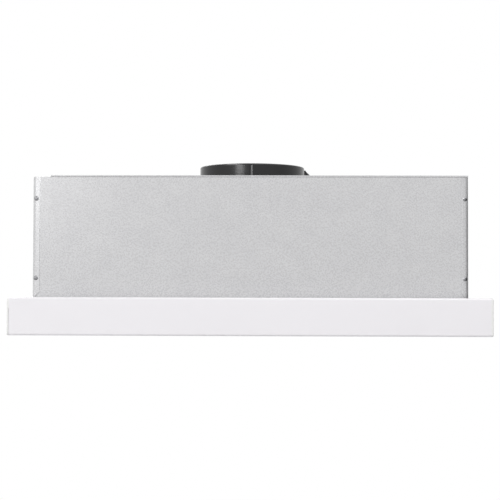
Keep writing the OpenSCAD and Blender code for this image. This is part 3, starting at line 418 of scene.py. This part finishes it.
spring = {
    "wire": 0.00045,
    "coil": 0.0026,
    "turns": 7,
    "pitch": 0.00105,
    "leg": 0.026,
    "flap": 0.0016,  # thickness of the flaps that the legs lie on
    "bent": 0.2,  # share of a leg in which it comes down from the coil
    "samples": 24,  # along each turn
}


def damperSpring(s):
    # a wire wound round the axle: x = r cos a, z = r sin a, y grows by the pitch with each turn;
    # its two legs lie on the flaps and go with them
    low, high = (np.array(corner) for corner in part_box("damper_axle"))
    axle = (low + high) / 2
    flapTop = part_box("damper_flap_right")[0][2] + s["flap"]
    a = np.linspace(0, s["turns"] * 2 * np.pi, s["turns"] * s["samples"] + 1)
    y = (a - a[-1] / 2) / (2 * np.pi) * s["pitch"]
    coil = axle + np.stack([s["coil"] * np.cos(a), y, s["coil"] * np.sin(a)], axis=1)
    wound = surface("damper_spring", tube(coil[None], s["wire"]), smooth=True)
    dress(wound, "bright_steel", "root")
    t = np.linspace(0, 1, 12)
    drop = axle[2] - flapTop - s["wire"]
    for side, hand, end in ((1, "right", y[-1]), (-1, "left", y[0])):
        out = s["coil"] + t * s["leg"]
        down = drop * np.minimum(1, t / s["bent"])
        leg = np.stack([side * out, np.full_like(t, end), -down], axis=1)
        piece = surface("spring_leg_" + hand, tube((axle + leg)[None], s["wire"]), smooth=True)
        dress(piece, "bright_steel", "damper_flap_" + hand)


damperSpring(spring)
print("damper spring wound")


# ---- clinched joints of the sheets ----

clinch = {
    "radius": 0.003,
    "rim": 0.0003,
    "floor": (0.08, 0.00002),  # where the floor ends, as a share of the radius, and its height
    "sunk": 0.0002,  # depth of the outer edge under the sheet
    "sides": 20,
    "inset": 0.0056,  # from the body's side
    "topY": (-0.045, 0.01, 0.065),
    "backZ": (0.045, 0.13, 0.175),
}


def clinches(s):
    # a raised ring pressed round a level floor: the radius runs in from r to r/2 as t goes from 0 to 1
    # while the height follows rim sin(pi t)^2, and the floor is just proud of the sheet
    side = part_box("side_panel_right")[1] - Vector((s["inset"], 0, 0))
    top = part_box("duct_collar")[0][2]
    places = [(x * side[0], y, top, 0) for x in (-1, 1) for y in s["topY"]]
    places += [(x * side[0], side[1], z, 1) for x in (-1, 1) for z in s["backZ"]]
    t = np.linspace(0, 1, 7)
    inner, proud = s["floor"]
    radius = np.append(s["radius"] * (1 - 0.5 * t), s["radius"] * inner)
    height = np.append(s["rim"] * np.sin(np.pi * t) ** 2, 0) + proud
    height[0] = -s["sunk"]
    turn = np.linspace(0, 2 * np.pi, s["sides"], endpoint=False)
    flat = np.stack([radius[:, None] * np.cos(turn), radius[:, None] * np.sin(turn)])
    rise = height[:, None] + 0 * turn
    upright = np.stack([flat[0], flat[1], rise], axis=-1)
    backward = np.stack([-flat[0], rise, flat[1]], axis=-1)
    points = np.stack([np.array(p[:3]) + (backward if p[3] else upright) for p in places])
    dress(surface("clinched_joints", points, smooth=True), "galvanised", "root")


clinches(clinch)
print("joints clinched")


# ---- marks on the switch plate ----

marks = {
    "height": 0.0046,
    "fontScale": 1.35,  # size of a font whose figures are 1 high
    "proud": 0.0001,
    "above": 0.0102,  # from the slot's middle to the middle of a figure
    "tick": (0.0005, 0.0012),
    "tickAbove": 0.0069,
    "step": 0.007,
    "steps": "0123",
    "lamp": {"ring": 0.001, "line": 0.0002, "rays": 8, "ray": (0.0003, 0.0008), "out": 0.0019},
    "fan": {"size": 0.003, "blades": 3, "left": 0.0135},
}


def figure(text, x, y, z, s):
    # a figure that reads from below, its top towards the front
    curve = bpy.data.curves.new("figure", "FONT")
    curve.body, curve.size, curve.extrude = text, s["height"] * s["fontScale"], s["proud"] / 2
    curve.align_x, curve.align_y = "CENTER", "CENTER"
    thing = bpy.data.objects.new("figure", curve)
    bpy.context.scene.collection.objects.link(thing)
    mesh = bpy.data.meshes.new_from_object(thing.evaluated_get(bpy.context.evaluated_depsgraph_get()))
    bpy.data.objects.remove(thing)
    mesh.transform(Matrix.Translation((x, y, z)) @ Matrix.Rotation(math.pi, 4, "X"))
    return mesh


def raisedSign(outline, x, y, z, proud):
    # an outline (u to the right, v up, turning left) carried a short way down out of the plate
    flat = np.stack([x + outline[:, 0], y - outline[:, 1]], axis=1)
    ends = [np.column_stack([flat, np.full(len(flat), z + lift)]) for lift in (proud, -proud)]
    return np.array(ends)[None]


def bladeOutline(size, blades):
    # r = size (0.3 + 0.7 |cos(n a / 2)|^0.7), one petal for each blade
    a = np.linspace(0, 2 * np.pi, 96, endpoint=False)
    r = size * (0.3 + 0.7 * np.abs(np.cos(blades * a / 2)) ** 0.7)
    return np.column_stack([r * np.sin(a), r * np.cos(a)])[::-1]


def barOutline(wide, high, lean=0.0, out=0.0):
    # a rectangle whose middle is out from the origin, turned by lean
    near, far = out * 2 - high, out * 2 + high
    flat = np.array([[-wide, near], [wide, near], [wide, far], [-wide, far]]) / 2
    c, sn = math.cos(lean), math.sin(lean)
    return flat @ np.array([[c, sn], [-sn, c]])


def markPlate(s):
    # four figures over the speed slider's slot, and a 0 and a lamp over the light slider's
    plate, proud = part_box("switch_plate")[0][2], s["proud"]
    speed, light = ((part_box(n)[0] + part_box(n)[1]) / 2 for n in ("speed_slider", "light_slider"))
    speedX, slotY, lightX = speed[0], speed[1], light[0]
    row = slotY - s["above"]
    figures = [(text, speedX + k * s["step"]) for k, text in enumerate(s["steps"])] + [("0", lightX)]
    whole = bmesh.new()
    for text, x in figures:
        mesh = figure(text, x, row, plate, s)
        whole.from_mesh(mesh)
        bpy.data.meshes.remove(mesh)
    mesh = bpy.data.meshes.new("switch_figures")
    whole.to_mesh(mesh)
    whole.free()
    piece = bpy.data.objects.new("switch_figures", mesh)
    bpy.context.scene.collection.objects.link(piece)
    dress(piece, "black_plastic", "root")
    lampX, lamp, fan = lightX + s["step"], s["lamp"], s["fan"]
    tick, tickY = barOutline(*s["tick"]), slotY - s["tickAbove"]
    signs = [raisedSign(tick, x, tickY, plate, proud) for x in [x for _, x in figures] + [lampX]]
    for lean in np.arange(lamp["rays"]) * 2 * np.pi / lamp["rays"]:
        ray = barOutline(*lamp["ray"], lean, lamp["out"])
        signs.append(raisedSign(ray, lampX, row, plate, proud))
    dress(surface("switch_ticks", np.concatenate(signs)), "black_plastic", "root")
    a, r = np.linspace(0, 2 * np.pi, 40), lamp["ring"]
    ring = np.column_stack([lampX + r * np.cos(a), row + r * np.sin(a), np.full_like(a, plate)])
    ringed = surface("switch_lamp_sign", tube(ring[None], lamp["line"], 6), smooth=True)
    dress(ringed, "black_plastic", "root")
    blades = bladeOutline(fan["size"], fan["blades"])
    fanSign = raisedSign(blades, speedX - fan["left"], slotY, plate, proud)
    dress(surface("switch_fan_sign", fanSign), "black_plastic", "root")


markPlate(marks)
print("switch plate marked")


# ---- duct collar: the grooves' flanks filled to a shallower slope ----

seam = {
    "radius": 0.086,  # outside of the collar
    "flank": (0.0025, 0.0011),  # width and depth of a groove's sloped flank
    "filled": 0.0005,  # depth that is left
    "rise": (0.0041, 0.0234),  # ends of the filling, above the collar's foot
}


def collarSeams(s):
    # a triangle carried up along Z, and the same again half a turn round the duct
    low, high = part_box("duct_collar")
    centre = [(low[0] + high[0]) / 2, (low[1] + high[1]) / 2]
    wide, deep = s["flank"]
    corners = np.array([[0, deep], [0, s["filled"]], [wide, 0]]) - [0, s["radius"]]
    section = np.stack([centre + corners, centre - corners])
    rows = [np.dstack([section, np.full((2, 3), low[2] + z)]) for z in s["rise"]]
    dress(surface("collar_seams", np.stack(rows, axis=1)), "black_plastic", "root")


collarSeams(seam)
print("collar seams filled")


# ---- side panels: the front corner rolled wider, and the flange's edge pressed thin ----

rolled = {
    "bend": (0.0027, 0.0065),  # the corner's outer radius as it comes, and as it is rolled
    "rake": 8,  # degrees that the flange falls back by
    "flange": 0.01093,  # width of the flange's outer face
    "sheet": 0.001,
    "reach": 0.0095,  # the sheet moves up to this far from the corner
    "strip": 0.0008,  # width of the strips that it is cut into first
    "pressed": {"left": (0.009, 0.0007), "right": (0.0015, 0.0005)},  # edge's width and depth
    "crease": 25,  # degrees from which an edge stays sharp
}


def cutAcross(net, axis, cuts):
    for cut in cuts:
        point, way = Vector(), Vector()
        point[axis], way[axis] = cut, 1
        everything = net.verts[:] + net.edges[:] + net.faces[:]
        bmesh.ops.bisect_plane(net, geom=everything, plane_co=point, plane_no=way)


def rolledSide(hand, s):
    # the section is a flange leg, a bend and a side leg: a point has its way w along the section and
    # its depth d under the outer skin. It is laid again at centre + (R - d)(cos w/R, sin w/R) on the
    # wider bend, and at the same depth on the legs; w is stretched so that the legs' far ends stay
    node = "side_panel_" + hand
    low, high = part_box(node)
    sign = 1 if hand == "right" else -1
    rake = math.radians(s["rake"])
    along, out = np.array([math.cos(rake), math.sin(rake)]), np.array([math.sin(rake), -math.cos(rake)])
    side, back = np.array([1.0, 0.0]), np.array([0.0, 1.0])
    middle = (out + side) / np.linalg.norm(out + side)
    half = (math.pi / 2 - rake) / 2
    corner = np.array([max(abs(low[0]), abs(high[0])), low[1] + s["flange"] * math.tan(rake)])

    def halfWay(radius):
        # length of the outer skin from the middle of the bend to the end of the reach
        return s["reach"] - radius * math.tan(half) + radius * half

    net = bmesh.new()
    net.from_mesh(frame["nodes"][node].data)
    bmesh.ops.remove_doubles(net, verts=net.verts, dist=1e-6)
    steps = np.arange(s["strip"] / 2, s["reach"] + s["strip"], s["strip"])
    cutAcross(net, 0, sign * (corner[0] - steps))
    cutAcross(net, 1, corner[1] + steps)
    mesh = bpy.data.meshes.new("side_skin_" + hand)
    net.to_mesh(mesh)
    net.free()

    spots = np.empty(len(mesh.vertices) * 3)
    mesh.vertices.foreach_get("co", spots)
    spots = spots.reshape(-1, 3)
    flat = spots[:, :2] * [sign, 1]
    tight, wide = s["bend"]
    centre = corner - middle * tight / math.cos(half)
    arm = flat - centre
    onFlange, onSide = arm @ along < 0, arm @ back > 0
    swing = np.arctan2(middle[0] * arm[:, 1] - middle[1] * arm[:, 0], arm @ middle)
    legs, bend = [onFlange, onSide], np.linalg.norm(arm, axis=1)
    way = np.select(legs, [arm @ along - tight * half, arm @ back + tight * half], tight * swing)
    deep = np.select(legs, [tight - arm @ out, tight - arm @ side], tight - bend)
    inSheet = np.abs(deep - s["sheet"] / 2) < s["sheet"]
    moved = (np.abs(way) < halfWay(tight)) & inSheet & (flat[:, 1] < corner[1] + s["reach"])
    way *= halfWay(wide) / halfWay(tight)
    centre = corner - middle * wide / math.cos(half)
    left = (wide - deep)[:, None]
    turn = np.clip(way / wide, -half, half)
    spoke = np.cos(turn)[:, None] * middle + np.sin(turn)[:, None] * [-middle[1], middle[0]]
    rest = way - turn * wide
    towardsEdge, backwards = np.minimum(rest, 0)[:, None] * along, np.maximum(rest, 0)[:, None] * back
    laid = centre + left * spoke + towardsEdge + backwards
    fresh = np.where(moved[:, None], laid, flat)
    # the outer skin sinks towards the flange's edge
    wideEdge, deepEdge = s["pressed"][hand]
    fromEdge = s["flange"] / math.cos(rake) + (flat - corner) @ along
    sink = deepEdge * np.clip(1 - fromEdge / wideEdge, 0, 1) * np.clip(1 - deep / s["sheet"], 0, 1)
    fresh = fresh - np.where(onFlange & inSheet, sink, 0)[:, None] * out
    spots[:, :2] = fresh * [sign, 1]
    mesh.vertices.foreach_set("co", spots.ravel())
    # only the faces near the corner are smooth
    faces = np.empty(len(mesh.polygons) * 3)
    mesh.polygons.foreach_get("center", faces)
    x, y = np.abs(faces[0::3]), faces[1::3]
    mesh.set_sharp_from_angle(angle=math.radians(s["crease"]))
    mesh.polygons.foreach_set("use_smooth", (y < corner[1] + s["reach"]) & (x > corner[0] - s["reach"]))
    mesh.update()
    piece = bpy.data.objects.new("side_skin_" + hand, mesh)
    bpy.context.scene.collection.objects.link(piece)
    dress(piece, "silver_coat", "root", node)


for hand in ("left", "right"):
    rolledSide(hand, rolled)
print("side panels rolled")


# ---- floor, light and background ----

studio = {
    "floorDrop": 0.35,  # metres from the hood's rim down to the floor
    "floorSize": 14.0,
    "floorTone": 0.66,
    "floorLift": 0.55,  # share of plain white in the floor as the camera sees it
    "shadowReach": (0.4, 0.8),  # the floor fades to plain white between these distances
    "sky": (0.4, 0.13),  # strength of the even light from all round, on the left and on the right
    "skySpan": (-0.3, 0.9),  # where between left (-1) and right (1) it falls off
    "flag": {"x": 0.55, "y": (-0.35, 0.6), "z": (-0.3, 0.27)},  # where the black card stands
    "suns": {  # from: degrees round from -Y, and up
        "key": {"from": (-46, 30), "soft": 30, "power": 1.66},
        "rear": {"from": (-165, 35), "soft": 20, "power": 1.15},
    },
    "softboxes": {
        "band": {
            "place": (-1.15, -2.4, 0.72), "aim": (-0.1, 0, 0.25), "size": (0.75, 0.5), "power": 11.5,
        },
        "top": {
            "place": (0.6, -0.7, 1.3), "aim": (0.15, -0.1, 0.1), "size": (1.4, 0.8), "power": 8,
        },
    },
}


def seenPlainly(tree):
    # 1 for rays from the camera, in gloss or through glass, which see plain white
    path = add(tree, "LightPath").outputs
    seen = combine(tree, path["Is Camera Ray"], path["Is Glossy Ray"], "MAXIMUM")
    return combine(tree, seen, path["Is Transmission Ray"], "MAXIMUM")


def mixShaders(tree, fac, first, second):
    mix = add(tree, "MixShader", {"Fac": fac})
    tree.links.new(first.outputs[0], mix.inputs[1])
    tree.links.new(second.outputs[0], mix.inputs[2])
    return mix


def makeWorld(s):
    world = bpy.data.worlds.new("surround")
    bpy.context.scene.world = world
    world.use_nodes = True
    tree = world.node_tree
    # the even light falls off towards the right
    where = add(tree, "TexCoord").outputs["Generated"]
    across = add(tree, "SeparateXYZ", {"Vector": where}).outputs["X"]
    strength = span(tree, across, *s["sky"], *s["skySpan"])
    sky = feed(tree, tree.nodes["Background"], {"Color": (1, 1, 1, 1), "Strength": strength})
    white = add(tree, "Background", {"Color": (1, 1, 1, 1), "Strength": 1.0})
    both = mixShaders(tree, seenPlainly(tree), sky, white)
    feed(tree, tree.nodes["World Output"], {"Surface": both.outputs[0]})


def blackCard(tree):
    return {"Base Color": (0.01, 0.01, 0.01, 1), "Roughness": 0.9}


def card(name, corners):
    mesh = bpy.data.meshes.new(name)
    mesh.from_pydata(corners, [], [(0, 1, 2, 3)])
    piece = bpy.data.objects.new(name, mesh)
    bpy.context.scene.collection.objects.link(piece)
    return piece


def makeFloor(s):
    half, z = s["floorSize"] / 2, -s["floorDrop"]
    floor = card("floor", [(-half, -half, z), (half, -half, z), (half, half, z), (-half, half, z)])
    pale = bpy.data.materials.new("paleFloor")
    pale.use_nodes = True
    tree = pale.node_tree
    tree.nodes.remove(tree.nodes["Principled BSDF"])
    matte = add(tree, "BsdfDiffuse", {"Color": (*[s["floorTone"]] * 3, 1)})
    white = add(tree, "Emission", {"Strength": 1.0})
    flat = add(tree, "VectorMath", {0: place(tree, (1, 1, 0))}, operation="LENGTH").outputs["Value"]
    lift = span(tree, flat, s["floorLift"], 1.0, *s["shadowReach"])
    above = mixShaders(tree, combine(tree, seenPlainly(tree), lift, "MULTIPLY"), matte, white)
    under = add(tree, "BsdfTransparent")  # from below the floor isn't there
    both = mixShaders(tree, add(tree, "NewGeometry").outputs["Backfacing"], above, under)
    feed(tree, tree.nodes["Material Output"], {"Surface": both.outputs[0]})
    floor.data.materials.append(pale)


def makeFlag(s):
    # a black card beside the hood, seen only in gloss, which draws its right edge
    x, (y0, y1), (z0, z1) = s["flag"]["x"], s["flag"]["y"], s["flag"]["z"]
    flag = card("flag", [(x, y0, z0), (x, y1, z0), (x, y1, z1), (x, y0, z1)])
    flag.visible_camera = flag.visible_diffuse = False
    flag.visible_shadow = flag.visible_transmission = False
    flag.data.materials.append(finish("blackCard", blackCard))


def addLamp(name, kind, power, location, aim):
    data = bpy.data.lights.new(name, kind)
    data.energy = power
    thing = bpy.data.objects.new(name, data)
    bpy.context.scene.collection.objects.link(thing)
    thing.location = location
    thing.rotation_euler = (Vector(aim) - Vector(location)).to_track_quat("-Z", "Y").to_euler()
    return data


def makeLamps(s):
    for name, sun in s["suns"].items():
        turn, up = (math.radians(a) for a in sun["from"])
        toward = Vector((math.sin(turn) * math.cos(up), -math.cos(turn) * math.cos(up), math.sin(up)))
        addLamp(name, "SUN", sun["power"], toward * 5, (0, 0, 0)).angle = math.radians(sun["soft"])
    for name, box in s["softboxes"].items():
        data = addLamp(name, "AREA", box["power"], box["place"], box["aim"])
        data.shape = "RECTANGLE"
        data.size, data.size_y = box["size"]


bpy.context.scene.view_settings.view_transform = "Standard"
makeWorld(studio)
makeFloor(studio)
makeFlag(studio)
makeLamps(studio)
print("studio lit")
